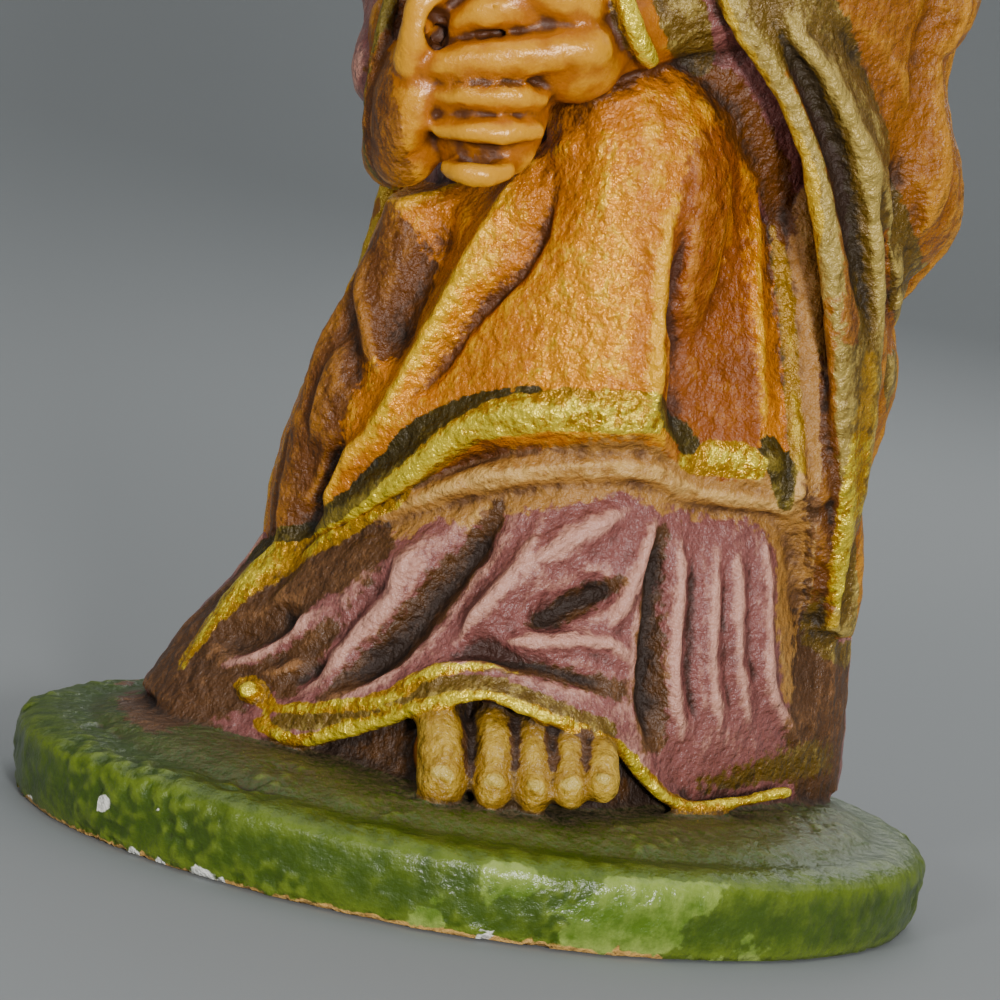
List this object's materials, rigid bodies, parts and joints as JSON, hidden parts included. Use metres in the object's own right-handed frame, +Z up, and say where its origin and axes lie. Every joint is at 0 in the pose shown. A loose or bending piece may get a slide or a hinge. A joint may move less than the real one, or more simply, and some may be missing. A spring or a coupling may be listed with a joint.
{
  "type": "chalkware nativity figure",
  "caption": "Painted plaster figure of a robed, bearded man kneeling on one knee with clasped hands, cast in one piece with its oval base.",
  "frame": {"origin": "middle of the base's underside", "axes": "+Z up, -Y towards the figure's front, +X to the right of someone who faces the figure"},
  "size_m": [0.1127, 0.0826, 0.1949],
  "materials": {
    "painted_plaster": "hand-painted plaster in ochre, mauve, gold and green with a brown antiquing wash and a semi-gloss varnish"
  },
  "bodies": {
    "root": {"kneeling_figure": "painted_plaster"}
  },
  "joints": []
}
